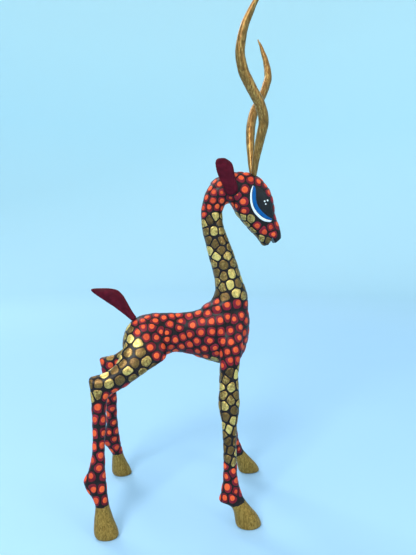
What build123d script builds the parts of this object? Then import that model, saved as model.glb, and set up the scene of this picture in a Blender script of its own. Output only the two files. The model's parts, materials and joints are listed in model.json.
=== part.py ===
from build123d import *
from collections import namedtuple
import math
import os

# Carved and painted wooden antelope, an assembly of hand-carved pieces.
#
# Units are millimetres. +X runs from the tail to the muzzle, +Y to the animal's left and +Z up.
# The origin is on the floor, under the middle of the figure's box.
#
# A body block, a neck and a head are doweled together, and four legs are doweled to the flat sides
# of the body block. The horns, the ears and the tail plug into drilled sockets and pull out.
#
# The carved forms are lofts, each listed as stations along the form. A station is a closed section
# that spans from a point on the rear or lower outline to one on the front or upper outline, both
# as (x, z). Stations are placed from the middle of the body block's foot line, and the finished
# figure is moved to its origin at the end.

RIGHT, LEFT = -1, 1
SIDE_NAMES = {RIGHT: "right", LEFT: "left"}

# ---- driving dimensions ------------------------------------------------------------------
BODY_HALF = 11.0  # how far out the body block's flat sides lie, where the legs are glued
WAIST_X = -22.0  # hind-leg seats end behind this, foreleg seats ahead of it
NECK_SEAT_Z = 170.0  # the saw cut between the body block and the neck

LEG_DOWEL_RADIUS, LEG_DOWEL_LENGTH = 2.0, 12.0
HIND_DOWELS = [(-54.0, 131.0), (-43.0, 129.0)]  # where the dowels cross the seat, as (x, z)
FORE_DOWELS = [(14.0, 124.0), (17.0, 137.0)]
NECK_DOWEL_RADIUS, NECK_DOWEL_LENGTH = 3.0, 26.0
NECK_DOWEL_MIDDLE, NECK_DOWEL_AXIS = (17.0, 0.0, 170.0), (-0.25, 0.0, 0.97)
HEAD_DOWEL_RADIUS, HEAD_DOWEL_LENGTH = 2.5, 20.0
HEAD_DOWEL_MIDDLE, HEAD_DOWEL_AXIS = (3.4, 0.0, 231.0), (0.0, 0.0, 1.0)
GLUE_GAP = 0.05  # radial room round a dowel
HOLE_END_ROOM = 0.5  # room past the end of each dowel and peg

HORN_PEG_RADIUS, HORN_PEG_DEPTH = 1.8, 9.0
EAR_PEG_RADIUS, EAR_PEG_DEPTH = 1.6, 7.0
TAIL_PEG_RADIUS, TAIL_PEG_DEPTH = 1.6, 8.0
PEG_ROOT = 1.5  # how far each peg reaches up inside its own piece
PEG_GAP = 0.08  # radial room round a peg, so that it slides out
SEAT_GAP = 0.25  # air under the shoulder of a plugged-in piece

FIGURE_SHIFT_X = 17.0  # from the stations' own frame to the figure's frame
SECTION_POINTS = 16
SPACING, HEAD_SPACING, HORN_SPACING = 3.0, 6.0, 5.0  # between the sections of each loft
FAR = 500.0  # further than the figure reaches

Station = namedtuple("Station", "rear front y half_width fullness", defaults=(2.0,))

# ---- stations of the carved forms --------------------------------------------------------
TORSO = [
    Station((-67.2, 129.0), (-65.4, 137.6), 0, 3.5),
    Station((-66.5, 123.0), (-62.2, 143.6), 0, 9.5),
    Station((-62.2, 116.7), (-56.8, 148.7), 0, 13.5),
    Station((-54.0, 114.0), (-49.5, 151.0), 0, 15.8),
    Station((-44.5, 115.0), (-41.0, 152.3), 0, 15.2),
    Station((-35.0, 118.5), (-32.0, 152.4), 0, 12.6),
    Station((-26.0, 121.3), (-23.0, 152.3), 0, 10.7),
    Station((-17.0, 120.2), (-13.5, 153.2), 0, 11.4),
    Station((-7.0, 116.8), (-3.5, 156.2), 0, 13.8),
    Station((2.5, 113.6), (6.0, 160.5), 0, 15.8),
    Station((12.0, 111.6), (15.0, 163.5), 0, 16.4),
    Station((21.0, 112.2), (23.5, 163.5), 0, 14.6),
    Station((28.2, 119.6), (29.6, 158.4), 0, 10.5),
    Station((32.2, 132.0), (32.7, 150.5), 0, 4.5),
]
NECK = [
    Station((-9.0, 146.0), (26.0, 140.0), 0, 11.5),
    Station((-5.0, 156.4), (32.0, 157.5), 0, 12.5),
    Station((3.2, 162.8), (31.2, 166.0), 0, 11.8),
    Station((5.9, 170.3), (29.2, 172.5), 0, 10.8),
    Station((5.2, 178.0), (26.6, 179.5), 0, 9.9),
    Station((3.6, 185.5), (24.2, 187.0), 0, 9.2),
    Station((1.0, 195.0), (21.0, 196.5), 0, 8.7),
    Station((-1.6, 205.5), (17.4, 206.5), 0, 8.3),
    Station((-4.0, 215.5), (13.6, 216.0), 0, 8.0),
    Station((-5.3, 223.5), (11.5, 223.5), 0, 7.9),
    Station((-5.4, 231.0), (11.0, 231.0), 0, 8.1),
]
HEAD = [
    NECK[-1],
    Station((-4.4, 238.0), (12.0, 235.0), 0, 8.7),
    Station((-2.0, 246.0), (13.8, 237.2), 0, 9.4),
    Station((2.6, 253.5), (15.6, 238.2), 0, 10.0),
    Station((10.0, 259.2), (17.4, 238.0), 0, 10.8, 2.1),
    Station((20.6, 262.0), (19.6, 235.5), 0, 11.6, 2.2),
    Station((32.0, 261.6), (21.8, 230.4), 0, 12.2, 2.3),
    Station((41.8, 256.2), (25.6, 225.6), 0, 12.4, 2.3),
    Station((48.2, 248.0), (30.0, 220.8), 0, 11.8, 2.3),
    Station((51.2, 239.0), (34.3, 215.9), 0, 10.4, 2.3),
    Station((52.4, 230.6), (38.8, 211.4), 0, 8.8, 2.3),
    Station((54.6, 223.4), (42.2, 207.0), 0, 7.6, 2.3),
    Station((57.2, 216.6), (45.6, 205.0), 0, 6.6, 2.3),
    Station((57.8, 211.0), (50.6, 205.4), 0, 4.2, 2.3),
]
MOUTH = [(50.0, 212.2), (46.2, 203.0), (54.2, 203.0)]  # the notch under the muzzle, as (x, z)

# The legs' y is the distance from the middle plane, so one list serves both sides.
HIND_LEG = [
    Station((-60.0, 139.0), (-38.0, 140.0), 10.5, 3.6),
    Station((-64.8, 128.5), (-32.6, 122.9), 14.0, 6.4),
    Station((-69.5, 118.0), (-45.0, 112.9), 17.2, 6.8),
    Station((-75.6, 112.2), (-56.5, 105.1), 18.8, 6.4),
    Station((-82.5, 109.6), (-66.0, 98.8), 19.9, 5.8),
    Station((-89.3, 107.6), (-74.0, 95.0), 20.8, 5.3),
    Station((-88.5, 100.5), (-76.4, 91.0), 21.8, 5.0),
    Station((-87.3, 90.0), (-77.0, 84.0), 23.5, 4.8),
    Station((-86.4, 76.0), (-76.7, 74.0), 26.0, 4.7),
    Station((-86.0, 62.0), (-77.2, 61.5), 29.0, 4.5),
    Station((-86.8, 50.0), (-77.0, 51.0), 31.6, 4.7),
    Station((-89.0, 43.0), (-76.5, 44.0), 33.0, 5.0),
    Station((-91.6, 37.2), (-76.0, 38.0), 34.2, 5.2),
    Station((-89.4, 32.4), (-75.5, 33.0), 35.1, 5.0),
    Station((-85.6, 27.0), (-74.8, 28.0), 36.2, 4.8),
    Station((-83.0, 21.0), (-73.6, 21.5), 37.6, 4.9),
    Station((-83.8, 12.0), (-70.4, 12.0), 39.2, 5.6),
    Station((-84.0, 5.5), (-67.6, 5.5), 40.3, 6.1),
    Station((-83.2, 1.4), (-66.4, 1.4), 41.0, 6.0),
    Station((-81.8, 0.0), (-67.4, 0.0), 41.2, 5.2),
]
FORELEG = [
    Station((8.0, 146.0), (26.0, 146.0), 11.0, 3.6),
    Station((7.6, 131.0), (25.4, 130.0), 14.2, 6.2),
    Station((7.8, 117.0), (22.9, 117.0), 17.2, 6.6),
    Station((7.7, 105.5), (21.4, 105.5), 19.2, 6.2),
    Station((6.9, 96.5), (21.6, 96.5), 20.9, 6.0),
    Station((6.2, 88.0), (22.1, 88.0), 22.4, 6.1),
    Station((7.0, 81.0), (21.4, 81.0), 23.6, 5.8),
    Station((8.3, 74.0), (20.0, 74.0), 24.9, 5.2),
    Station((8.9, 65.0), (19.1, 65.0), 26.5, 4.8),
    Station((9.2, 54.0), (18.8, 54.0), 28.5, 4.6),
    Station((9.2, 42.0), (18.8, 42.0), 30.7, 4.6),
    Station((8.8, 33.0), (19.6, 33.5), 32.3, 4.8),
    Station((7.4, 25.5), (20.8, 27.5), 33.6, 5.1),
    Station((5.8, 19.0), (22.0, 23.6), 34.6, 5.1),
    Station((9.4, 16.8), (23.2, 21.0), 35.0, 4.9),
    Station((13.4, 15.2), (24.8, 18.6), 35.5, 5.0),
    Station((15.9, 11.0), (29.3, 12.8), 36.2, 5.7),
    Station((16.9, 5.5), (34.4, 6.4), 36.8, 6.2),
    Station((17.8, 1.4), (36.4, 1.6), 37.2, 6.2),
    Station((19.4, 0.0), (35.2, 0.0), 37.4, 5.4),
]
LEFT_FORE_SHIFT = 3.5
LEFT_STRIDE, STRIDE_TOP_Z, STRIDE_POWER = 9.8, 112.0, 1.1  # the left foreleg leans further forward
LEFT_HOCK_LIFT, HOCK_LIFT_TOP_Z, HOCK_LIFT_FOOT_Z = 4.0, 136.0, 66.0
LEFT_HIND_SHIFT = 0.5

TAIL = [
    Station((-56.0, 141.5), (-51.5, 145.5), 0, 2.0),
    Station((-59.8, 146.2), (-56.2, 149.6), 0, 2.1),
    Station((-64.6, 150.6), (-60.2, 155.6), 0, 2.2),
    Station((-69.8, 154.8), (-63.0, 161.0), 0, 2.3),
    Station((-74.6, 158.4), (-66.4, 166.8), 0, 2.3),
    Station((-79.8, 162.0), (-71.6, 171.2), 0, 2.1),
    Station((-85.0, 165.6), (-79.4, 172.4), 0, 1.8),
    Station((-89.0, 168.6), (-86.4, 172.2), 0, 1.2),
    Station((-91.0, 170.6), (-90.4, 171.8), 0, 0.6),
]
# The ear is a leaf in its own frame: across the leaf and up from its root.
EAR = [
    Station((-1.4, -4.4), (4.6, -4.4), 0, 0.9),
    Station((-3.4, -2.8), (6.3, -2.8), 0, 1.5),
    Station((-4.3, 0.0), (6.3, 0.0), 0, 1.9),
    Station((-4.8, 4.0), (6.0, 3.6), 0, 2.0),
    Station((-5.6, 9.0), (6.1, 8.2), 0, 2.0),
    Station((-6.3, 14.0), (6.5, 12.2), 0, 1.9),
    Station((-6.2, 18.2), (6.8, 16.0), 0, 1.7),
    Station((-5.5, 21.6), (6.0, 18.8), 0, 1.4),
    Station((-4.4, 23.4), (4.0, 21.4), 0, 1.1),
    Station((-2.8, 24.2), (1.4, 23.2), 0, 0.7),
]

Plug = namedtuple("Plug", "root axis")  # where a plugged-in piece sits, and the way it pulls out
TAIL_PLUG = Plug((-57.6, 0.0, 147.4), (-0.66, 0.0, 0.75))
HORN_PLUGS = {
    RIGHT: Plug((35.3, -4.8, 259.5), (0.04, -0.21, 0.98)),
    LEFT: Plug((36.0, 4.8, 259.5), (-0.04, 0.22, 0.97)),
}
EAR_PLUGS = {
    RIGHT: Plug((15.9, -11.6, 247.4), (-0.30, -0.84, 0.46)),
    LEFT: Plug((12.9, 8.2, 255.8), (-0.28, 0.80, 0.53)),
}
# The way each leaf stands up from its root, and the way across it.
EAR_LEAN = {RIGHT: (-0.30, -0.20, 0.93), LEFT: (-0.20, 0.95, 0.22)}
EAR_ACROSS = {RIGHT: (1.0, 0.0, 0.35), LEFT: (0.78, 0.0, 0.62)}

# The horns' centre lines and radii: x, distance from the middle plane, z, radius.
HORNS = {
    RIGHT: [
        (34.7, 4.5, 257.0, 2.2),
        (35.9, 7.0, 269.0, 2.7),
        (38.3, 10.6, 284.0, 3.4),
        (40.5, 13.4, 297.0, 3.8),
        (37.6, 16.2, 307.0, 3.9),
        (30.2, 19.0, 319.0, 3.9),
        (23.4, 21.6, 331.0, 3.8),
        (20.9, 24.0, 342.0, 3.5),
        (22.6, 27.0, 355.0, 3.1),
        (28.0, 30.2, 368.0, 2.3),
        (33.3, 32.6, 377.5, 1.2),
        (35.4, 33.6, 381.0, 0.5),
    ],
    LEFT: [
        (36.2, 4.4, 257.0, 1.9),
        (35.0, 7.6, 271.0, 2.5),
        (34.9, 11.0, 286.0, 3.3),
        (35.8, 14.4, 300.0, 3.7),
        (38.4, 17.2, 312.0, 3.7),
        (43.6, 20.0, 323.0, 3.5),
        (48.8, 22.6, 334.0, 3.3),
        (51.9, 25.2, 346.0, 3.1),
        (50.9, 28.0, 357.0, 2.5),
        (47.7, 30.6, 369.0, 1.6),
        (44.8, 32.6, 378.6, 0.5),
    ],
}


# ---- building blocks ---------------------------------------------------------------------
def outline(station, side=LEFT):
    """The closed section of a station, a superellipse between its two outline points."""
    (rear_x, rear_z), (front_x, front_z) = station.rear, station.front
    middle = Vector((rear_x + front_x) / 2, side * station.y, (rear_z + front_z) / 2)
    reach = Vector((rear_x - front_x) / 2, 0, (rear_z - front_z) / 2)
    power = 2 / station.fullness
    points = []
    for step in range(SECTION_POINTS):
        turn = 2 * math.pi * step / SECTION_POINTS
        along = math.copysign(abs(math.cos(turn)) ** power, math.cos(turn))
        across = math.copysign(abs(math.sin(turn)) ** power, math.sin(turn))
        points.append(middle + reach * along + Vector(0, station.half_width * across, 0))
    return Wire([Spline(points, periodic=True)])


def smooth_slopes(places, values):
    """Slopes for a cubic through the values that never swings past them."""
    steps = [after - before for before, after in zip(places, places[1:])]
    rises = [after - before for before, after in zip(values, values[1:])]
    secants = [rise / step for rise, step in zip(rises, steps)]
    slopes = [secants[0]]
    for (step_in, step_out), (steep_in, steep_out) in zip(
        zip(steps, steps[1:]), zip(secants, secants[1:])
    ):
        weight_in = step_in + 2 * step_out
        weight_out = 2 * step_in + step_out
        if steep_in * steep_out <= 0:
            slopes.append(0.0)
            continue
        flatness = weight_in / steep_in + weight_out / steep_out
        slopes.append((weight_in + weight_out) / flatness)
    return slopes + [secants[-1]]


def evenly_spaced(rows, travels, spacing):
    """Rows of numbers read off at even spacing, which a loft follows without ripples."""
    places = [0.0]
    for travel in travels:
        places.append(places[-1] + travel)
    columns = list(zip(*rows))
    slopes = [smooth_slopes(places, column) for column in columns]
    count = round(places[-1] / spacing)
    even = []
    for index in range(count + 1):
        place = places[-1] * index / count
        span = max(i for i in range(len(places) - 1) if places[i] <= place)
        step = places[span + 1] - places[span]
        t = (place - places[span]) / step
        row = [
            (1 + 2 * t) * (1 - t) ** 2 * column[span]
            + t * (1 - t) ** 2 * step * slope[span]
            + t**2 * (3 - 2 * t) * column[span + 1]
            + t**2 * (t - 1) * step * slope[span + 1]
            for column, slope in zip(columns, slopes)
        ]
        even.append(row)
    return even


def even_stations(stations, spacing):
    """The same form as stations at even spacing."""
    rows = [(*s.rear, *s.front, s.y, s.half_width, s.fullness) for s in stations]
    travels = [
        (math.dist(before[0:2], after[0:2]) + math.dist(before[2:4], after[2:4])) / 2
        for before, after in zip(rows, rows[1:])
    ]
    rows = evenly_spaced(rows, travels, spacing)
    return [Station((row[0], row[1]), (row[2], row[3]), *row[4:]) for row in rows]


def carved(stations, side=LEFT, spacing=SPACING):
    """The solid that runs smoothly through the stations."""
    return Solid.make_loft([outline(station, side) for station in even_stations(stations, spacing)])


def block(low, high):
    """A box between two corners."""
    low, high = Vector(low), Vector(high)
    size = high - low
    return Pos((low + high) / 2) * Box(size.X, size.Y, size.Z)


def rod(middle, axis, radius, length):
    """A round bar centred on a point."""
    return Plane(origin=middle, z_dir=axis).location * Cylinder(radius, length)


def peg(plug, radius, depth):
    """The peg of a plugged-in piece, from inside the piece to the bottom of its socket."""
    middle = Vector(plug.root) + Vector(plug.axis).normalized() * (PEG_ROOT - depth) / 2
    return rod(middle, plug.axis, radius, depth + PEG_ROOT)


def socket(plug, radius, depth):
    """The drill that makes room for a peg."""
    depth += HOLE_END_ROOM
    middle = Vector(plug.root) + Vector(plug.axis).normalized() * (PEG_ROOT - depth) / 2
    return rod(middle, plug.axis, radius + PEG_GAP, depth + PEG_ROOT)


def plugged(shape, host, plug, radius, depth):
    """A piece cut to stand just clear of its host, with its peg."""
    cleared = shape - Pos(Vector(plug.axis).normalized() * SEAT_GAP) * host
    return cleared + peg(plug, radius, depth)


# ---- the forms before they are cut into pieces -------------------------------------------
def shifted(station, x=0.0, z=0.0):
    """The same section, moved."""
    rear = (station.rear[0] + x, station.rear[1] + z)
    front = (station.front[0] + x, station.front[1] + z)
    return station._replace(rear=rear, front=front)


def foreleg_stations(side):
    """The left foreleg stands further forward and leans forward, in a short step."""
    if side == RIGHT:
        return FORELEG
    stations = []
    for station in FORELEG:
        lean = max(0.0, 1 - station.rear[1] / STRIDE_TOP_Z) ** STRIDE_POWER
        stations.append(shifted(station, x=LEFT_FORE_SHIFT + LEFT_STRIDE * lean))
    return stations


def hind_leg_stations(side):
    """The left hind leg stands a little further forward, with a slightly higher hock."""
    if side == RIGHT:
        return HIND_LEG
    stations = []
    for station in HIND_LEG:
        rise = (station.rear[1] - HOCK_LIFT_FOOT_Z) / (HOCK_LIFT_TOP_Z - HOCK_LIFT_FOOT_Z)
        share = math.sin(math.pi * min(1.0, max(0.0, rise)))
        stations.append(shifted(station, x=LEFT_HIND_SHIFT, z=LEFT_HOCK_LIFT * share))
    return stations


def horn_form(side):
    """A round tapering horn along its centre line."""
    travels = [math.dist(low[:3], high[:3]) for low, high in zip(HORNS[side], HORNS[side][1:])]
    rows = evenly_spaced(HORNS[side], travels, HORN_SPACING)
    points = [Vector(x, side * out, z) for x, out, z, radius in rows]
    line = Spline(points)
    rings = []
    for point, (*_, radius) in zip(points, rows):
        heading = line.tangent_at(point)
        rings.append(Wire.make_circle(radius, Plane(point, x_dir=(1, 0, 0), z_dir=heading)))
    return Solid.make_loft(rings)


def ear_form(side):
    """The leaf of an ear, standing on its root."""
    upright = Plane(EAR_PLUGS[side].root, x_dir=EAR_ACROSS[side], z_dir=EAR_LEAN[side])
    return upright.location * carved(EAR)


# ---- dowels ------------------------------------------------------------------------------
def leg_dowels(places, side, gap=0.0, end_room=0.0):
    """The dowels between a leg and the body block, or with room added, their drilled holes."""
    radius, length = LEG_DOWEL_RADIUS + gap, LEG_DOWEL_LENGTH + 2 * end_room
    return [rod((x, side * BODY_HALF, z), (0, side, 0), radius, length) for x, z in places]


def neck_dowel(gap=0.0, end_room=0.0):
    """The dowel between the body block and the neck, or its hole."""
    length = NECK_DOWEL_LENGTH + 2 * end_room
    return rod(NECK_DOWEL_MIDDLE, NECK_DOWEL_AXIS, NECK_DOWEL_RADIUS + gap, length)


def head_dowel(gap=0.0, end_room=0.0):
    """The dowel between the neck and the head, or its hole."""
    length = HEAD_DOWEL_LENGTH + 2 * end_room
    return rod(HEAD_DOWEL_MIDDLE, HEAD_DOWEL_AXIS, HEAD_DOWEL_RADIUS + gap, length)


HOLE = {"gap": GLUE_GAP, "end_room": HOLE_END_ROOM}


# ---- pieces ------------------------------------------------------------------------------
neck_form = carved(NECK)
trunk_form = carved(TORSO) + (neck_form & block((-FAR, -FAR, -FAR), (FAR, FAR, NECK_SEAT_Z)))
mouth_outline = Polyline([(x, 0, z) for x, z in MOUTH], close=True)
head_form = carved(HEAD, spacing=HEAD_SPACING) - extrude(make_face(mouth_outline), FAR, both=True)


def torso():
    """The body block: the trunk between its two flat sides, drilled for everything on it."""
    core = trunk_form & block((-FAR, -BODY_HALF, -FAR), (FAR, BODY_HALF, FAR))
    for side in (RIGHT, LEFT):
        core -= leg_dowels(HIND_DOWELS + FORE_DOWELS, side, **HOLE)
    return core - neck_dowel(**HOLE) - socket(TAIL_PLUG, TAIL_PEG_RADIUS, TAIL_PEG_DEPTH)


def leg(side, stations, seat_x_range, dowel_places):
    """A leg carved in one with its share of the trunk's side."""
    x_low, x_high = seat_x_range
    beside = [side * BODY_HALF, side * FAR]
    seat_cheek = trunk_form & block((x_low, min(beside), -FAR), (x_high, max(beside), FAR))
    limb = carved(stations, side) & block((-FAR, min(beside), -FAR), (FAR, max(beside), FAR))
    return seat_cheek + limb - leg_dowels(dowel_places, side, **HOLE)


def neck():
    """The neck, between its two saw cuts."""
    above_seat = block((-FAR, -FAR, NECK_SEAT_Z), (FAR, FAR, FAR))
    return (neck_form & above_seat) - neck_dowel(**HOLE) - head_dowel(**HOLE)


def head():
    """The head with the sockets of the horns and the ears."""
    drilled = head_form - head_dowel(**HOLE)
    for side in (RIGHT, LEFT):
        drilled -= socket(HORN_PLUGS[side], HORN_PEG_RADIUS, HORN_PEG_DEPTH)
        drilled -= socket(EAR_PLUGS[side], EAR_PEG_RADIUS, EAR_PEG_DEPTH)
    return drilled


nodes = {
    "torso": torso(),
    "neck": neck(),
    "head": head(),
    "tail": plugged(carved(TAIL), trunk_form, TAIL_PLUG, TAIL_PEG_RADIUS, TAIL_PEG_DEPTH),
    "neck_dowel": neck_dowel(),
    "head_dowel": head_dowel(),
}
for side, name in SIDE_NAMES.items():
    nodes["foreleg_" + name] = leg(side, foreleg_stations(side), (WAIST_X, FAR), FORE_DOWELS)
    nodes["hindleg_" + name] = leg(side, hind_leg_stations(side), (-FAR, WAIST_X), HIND_DOWELS)
    nodes["foreleg_" + name + "_dowels"] = Compound(leg_dowels(FORE_DOWELS, side))
    nodes["hindleg_" + name + "_dowels"] = Compound(leg_dowels(HIND_DOWELS, side))
    horn_size = (HORN_PEG_RADIUS, HORN_PEG_DEPTH)
    nodes["horn_" + name] = plugged(horn_form(side), head_form, HORN_PLUGS[side], *horn_size)
    ear_size = (EAR_PEG_RADIUS, EAR_PEG_DEPTH)
    nodes["ear_" + name] = plugged(ear_form(side), head_form, EAR_PLUGS[side], *ear_size)

os.makedirs("parts", exist_ok=True)
for name, shape in nodes.items():
    export_step(Pos(FIGURE_SHIFT_X, 0, 0) * shape, f"parts/{name}.step")
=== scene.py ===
"""Looks of the carved and painted wooden antelope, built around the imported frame.

Lengths are in millimetres in the row frame, and are multiplied by MM where Blender takes metres.
The wooden pieces are remeshed from their CAD solids, smoothed and made a little uneven, as a knife
leaves them. Every painted spot is a thin raised blob that follows the wood, and the eyes are thin
closed films.
"""

import json
import math
from collections import namedtuple

import bmesh
import bpy
import numpy as np
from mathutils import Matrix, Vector, noise
from mathutils.bvhtree import BVHTree


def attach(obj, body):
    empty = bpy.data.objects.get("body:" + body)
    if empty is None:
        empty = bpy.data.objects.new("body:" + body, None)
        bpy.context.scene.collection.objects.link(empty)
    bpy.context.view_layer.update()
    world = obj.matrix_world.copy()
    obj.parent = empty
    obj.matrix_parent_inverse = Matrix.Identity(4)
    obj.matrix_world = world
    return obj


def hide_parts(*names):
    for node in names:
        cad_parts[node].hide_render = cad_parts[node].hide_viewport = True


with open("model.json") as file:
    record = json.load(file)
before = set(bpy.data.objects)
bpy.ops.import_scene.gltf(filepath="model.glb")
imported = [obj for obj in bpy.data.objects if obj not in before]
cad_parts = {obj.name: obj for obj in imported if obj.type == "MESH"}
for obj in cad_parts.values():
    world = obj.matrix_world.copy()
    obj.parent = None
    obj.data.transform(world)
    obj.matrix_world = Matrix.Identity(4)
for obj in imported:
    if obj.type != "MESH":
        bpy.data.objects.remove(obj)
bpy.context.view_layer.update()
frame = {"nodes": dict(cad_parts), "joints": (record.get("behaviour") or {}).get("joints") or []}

MM = 0.001
RIGHT, LEFT = -1, 1
SIDE_NAMES = {RIGHT: "right", LEFT: "left"}
SEED = 7
rng = np.random.default_rng(SEED)

# ---- places on the figure ----------------------------------------------------------------
BODY_HALF = 11.0  # the flat sides of the body block
WAIST_X = -5.0  # between the fore and the hind leg's share of the body
NECK_SEAT_Z = 170.0
HEAD_SEAT_Z = 231.0
MUZZLE_Z = 200.0  # the muzzle hangs down to about here, in front of the neck
FAR = 600.0  # beyond the figure in every direction

WOOD_VOXEL = 0.55
PLUG_VOXEL = 0.4
ROOT_NODES = ["torso", "neck", "head"] + [
    f"{limb}_{name}" for limb in ("foreleg", "hindleg") for name in SIDE_NAMES.values()
]


# ---- meshes ------------------------------------------------------------------------------
def new_object(name, mesh):
    """An object for a mesh, in the scene."""
    made = bpy.data.objects.new(name, mesh)
    bpy.context.scene.collection.objects.link(made)
    return made


def joined_copy(name, nodes):
    """One object with copies of the CAD nodes' meshes."""
    bm = bmesh.new()
    for node in nodes:
        bm.from_mesh(frame["nodes"][node].data)
    mesh = bpy.data.meshes.new(name)
    bm.to_mesh(mesh)
    bm.free()
    return new_object(name, mesh)


def with_modifiers(piece):
    """The piece with its modifiers made real."""
    evaluated = piece.evaluated_get(bpy.context.evaluated_depsgraph_get())
    mesh = bpy.data.meshes.new_from_object(evaluated)
    old = piece.data
    piece.modifiers.clear()
    piece.data = mesh
    bpy.data.meshes.remove(old)
    return piece


def remeshed(piece, voxel):
    """The piece as one skin of even quads."""
    modifier = piece.modifiers.new("remesh", "REMESH")
    modifier.mode = "VOXEL"
    modifier.voxel_size = voxel * MM
    return with_modifiers(piece)


def cut(piece, cutter, operation):
    """A boolean with a closed cutter, which is then removed."""
    modifier = piece.modifiers.new("cut", "BOOLEAN")
    modifier.operation = operation
    modifier.solver = "MANIFOLD"
    modifier.object = cutter
    modifier.material_mode = "TRANSFER"
    with_modifiers(piece)
    bpy.data.objects.remove(cutter)
    return piece


def prism(outline, y_low, y_high, material=None):
    """A closed block with an outline in x and z."""
    bm = bmesh.new()
    face = bm.faces.new([bm.verts.new((x * MM, y_low * MM, z * MM)) for x, z in outline])
    raised = bmesh.ops.extrude_face_region(bm, geom=[face])["geom"]
    lift = Vector((0, (y_high - y_low) * MM, 0))
    verts = [item for item in raised if isinstance(item, bmesh.types.BMVert)]
    bmesh.ops.translate(bm, vec=lift, verts=verts)
    bmesh.ops.recalc_face_normals(bm, faces=bm.faces)
    mesh = bpy.data.meshes.new("prism")
    bm.to_mesh(mesh)
    bm.free()
    if material:
        mesh.materials.append(material)
    return new_object("prism", mesh)


def points_of(mesh):
    """The vertices of a mesh as an array, in millimetres."""
    co = np.empty(len(mesh.vertices) * 3)
    mesh.vertices.foreach_get("co", co)
    return co.reshape(-1, 3) / MM


def set_points(mesh, points):
    """Moves a mesh's vertices to an array in millimetres."""
    mesh.vertices.foreach_set("co", (points * MM).ravel())
    mesh.update()


def normals_of(mesh):
    """The vertex normals of a mesh as an array."""
    values = np.empty(len(mesh.vertices) * 3)
    mesh.vertex_normals.foreach_get("vector", values)
    return values.reshape(-1, 3)


def evened(points, edges, share):
    """Each point moved towards the mean of its neighbours."""
    count = len(points)
    degree = np.bincount(edges.ravel(), minlength=count)[:, None]
    total = np.empty_like(points)
    for axis in range(3):
        total[:, axis] = np.bincount(edges[:, 0], points[edges[:, 1], axis], count)
        total[:, axis] += np.bincount(edges[:, 1], points[edges[:, 0], axis], count)
    return points + share * (total / np.maximum(degree, 1) - points)


def smoothed(piece, soft_rounds, firm_rounds):
    """Rounds the steps of a remesh: soft rounds melt creases, firm ones keep the volume."""
    mesh = piece.data
    edges = np.empty(len(mesh.edges) * 2, dtype=np.int32)
    mesh.edges.foreach_get("vertices", edges)
    edges = edges.reshape(-1, 2)
    points = points_of(mesh)
    for _ in range(soft_rounds):
        points = evened(points, edges, 0.5)
    for _ in range(firm_rounds):
        points = evened(evened(points, edges, 0.5), edges, -0.53)
    set_points(mesh, points)
    return piece


def unevened(piece, wave, reach, calm_points, calm_radius):
    """Moves the skin in and out in long waves, as a knife leaves it, away from the calm points."""
    mesh = piece.data
    points = points_of(mesh)
    normals = normals_of(mesh)
    calm = np.ones(len(points))
    for calm_point in calm_points:
        away = np.linalg.norm(points - np.array(calm_point), axis=1)
        calm = np.minimum(calm, np.clip(away / calm_radius - 0.6, 0, 1))
    places = [Vector(point) / wave for point in points]
    height = [noise.noise(place) + 0.5 * noise.noise(place * 2.3) for place in places]
    set_points(mesh, points + normals * (np.array(height) * calm * reach)[:, None])
    return piece


def along(node, axis):
    """Where a CAD piece starts along an axis: the middle and radius of its first round face."""
    points = points_of(frame["nodes"][node].data)
    direction = np.array(axis) / np.linalg.norm(axis)
    travel = points @ direction
    first = points[travel < travel.min() + 0.02]
    middle = first.mean(axis=0)
    radius = np.linalg.norm(first - middle, axis=1).max()
    return middle, direction, radius


def bar(middle, direction, start, stop, radius, material=None, sides=48):
    """A closed round bar along a direction."""
    side = np.cross(direction, (0.3, 1.0, 0.2))
    side /= np.linalg.norm(side)
    up = np.cross(direction, side)
    bm = bmesh.new()
    rings = []
    for travel in (start, stop):
        centre = np.array(middle) + direction * travel
        ring = []
        for step in range(sides):
            turn = 2 * math.pi * step / sides
            place = centre + radius * (math.cos(turn) * side + math.sin(turn) * up)
            ring.append(bm.verts.new(Vector(place) * MM))
        rings.append(ring)
    for step in range(sides):
        after = (step + 1) % sides
        bm.faces.new((rings[0][step], rings[0][after], rings[1][after], rings[1][step]))
    bm.faces.new(rings[0])
    bm.faces.new(rings[1])
    bmesh.ops.recalc_face_normals(bm, faces=bm.faces)
    mesh = bpy.data.meshes.new("bar")
    bm.to_mesh(mesh)
    bm.free()
    if material:
        mesh.materials.append(material)
    return new_object("bar", mesh)


def shaded(piece, crease=40):
    """Smooth shading that breaks at edges sharper than the crease angle, in degrees."""
    mesh = piece.data
    mesh.polygons.foreach_set("use_smooth", [True] * len(mesh.polygons))
    mesh.set_sharp_from_angle(angle=math.radians(crease))
    mesh.update()
    return piece


def stand_in(piece, body, slot, *nodes):
    """Puts a finished piece on its body and in place of its CAD nodes; the slot is not used."""
    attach(piece, body)
    if nodes:
        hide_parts(*nodes)
    return piece


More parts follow.
